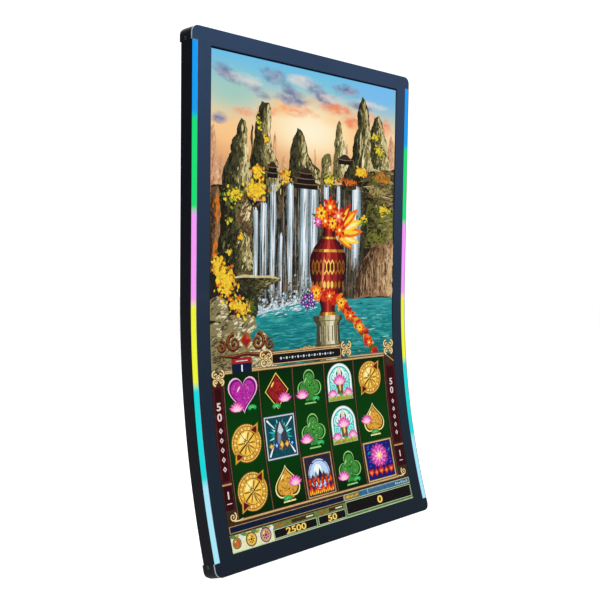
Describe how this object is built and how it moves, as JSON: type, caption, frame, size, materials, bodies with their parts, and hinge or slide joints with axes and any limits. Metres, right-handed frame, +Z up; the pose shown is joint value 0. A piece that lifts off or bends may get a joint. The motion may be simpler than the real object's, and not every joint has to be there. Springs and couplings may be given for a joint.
{
  "type": "curved slot machine display",
  "caption": "Tall curved touch display of a slot machine with light strips down both front edges, end caps, rear electronics housing and mounting plate.",
  "frame": {"origin": "centre of the mounting plate's rear face, behind the flat upper part of the display", "axes": "+X across the display, +Y out of the back, square to the mounting plate, +Z up; the glass faces -Y"},
  "size_m": [0.6212, 0.1679, 1.0113],
  "materials": {
    "front_glass": "polished glass with a navy printed border",
    "panel_glass": "smooth panel glass",
    "film": "smooth film",
    "adhesive": "matt foam tape",
    "milky_plastic": "milky satin",
    "light_strip": "lit, changing colour along its length",
    "black_plastic": "fine moulded texture",
    "key_plastic": "satin",
    "anodised_rail": "black anodised",
    "painted_steel": "fine powder coat",
    "zinc_steel": "zinc plated",
    "screw_steel": "plated",
    "circuit_board": "solder mask",
    "ribbon": "flat cable",
    "connector": "moulded"
  },
  "bodies": {
    "display": {"cover_glass": "front_glass", "bonding_tape": "adhesive", "touch_sensor": "film", "lcd_cell": "panel_glass", "optical_films": "film", "diffuser_plate": "milky_plastic", "reflector_sheet": "film", "backlight_tray": "zinc_steel", "backlight_bar_1": "milky_plastic", "backlight_bar_2": "milky_plastic", "backlight_bar_3": "milky_plastic", "backlight_bar_4": "milky_plastic", "backlight_bar_5": "milky_plastic", "backlight_bar_6": "milky_plastic", "mid_frame_top": "black_plastic", "mid_frame_bottom": "black_plastic", "mid_frame_left": "black_plastic", "mid_frame_right": "black_plastic", "timing_board": "circuit_board", "side_rail_left": "anodised_rail", "side_rail_right": "anodised_rail", "light_strip_lens_left": "light_strip", "light_strip_lens_right": "light_strip", "light_strip_board_left": "circuit_board", "light_strip_board_right": "circuit_board", "end_cap_top": "black_plastic", "end_cap_bottom": "black_plastic", "cap_screw_top_left": "screw_steel", "cap_screw_top_right": "screw_steel", "cap_screw_bottom_left": "screw_steel", "cap_screw_bottom_right": "screw_steel", "rear_cover": "painted_steel", "electronics_housing": "painted_steel", "mount_plate": "zinc_steel", "plate_screw_top": "screw_steel", "plate_screw_bottom": "screw_steel", "plate_screw_left": "screw_steel", "plate_screw_right": "screw_steel", "main_board": "circuit_board", "power_board": "circuit_board", "led_driver_board": "circuit_board", "touch_board": "circuit_board", "light_strip_controller": "circuit_board", "panel_ribbon_cable": "ribbon", "keypad_board": "circuit_board", "keypad_bezel": "black_plastic", "switch_frame": "black_plastic", "mains_inlet": "connector", "digital_video_socket": "connector", "display_link_socket": "connector", "usb_socket": "connector", "analog_video_socket": "connector", "audio_socket": "connector"},
    "power_key": {"key_power": "key_plastic"},
    "menu_key": {"key_menu": "key_plastic"},
    "minus_key": {"key_minus": "key_plastic"},
    "plus_key": {"key_plus": "key_plastic"},
    "input_key": {"key_input": "key_plastic"},
    "rocker": {"switch_rocker": "key_plastic"}
  },
  "joints": [
    {"name": "power_key_press", "type": "slide", "parent": "display", "child": "power_key", "axis": [0, -1, 0], "range_m": [0, 0.0008], "stiffness_N_per_m": 600},
    {"name": "menu_key_press", "type": "slide", "parent": "display", "child": "menu_key", "axis": [0, -1, 0], "range_m": [0, 0.0008], "stiffness_N_per_m": 600},
    {"name": "minus_key_press", "type": "slide", "parent": "display", "child": "minus_key", "axis": [0, -1, 0], "range_m": [0, 0.0008], "stiffness_N_per_m": 600},
    {"name": "plus_key_press", "type": "slide", "parent": "display", "child": "plus_key", "axis": [0, -1, 0], "range_m": [0, 0.0008], "stiffness_N_per_m": 600},
    {"name": "input_key_press", "type": "slide", "parent": "display", "child": "input_key", "axis": [0, -1, 0], "range_m": [0, 0.0008], "stiffness_N_per_m": 600},
    {"name": "mains_switch", "type": "hinge", "parent": "display", "child": "rocker", "pos_m": [0.072, -0.0335, -0.196], "axis": [-1, 0, 0], "range_deg": [0, 18]}
  ]
}
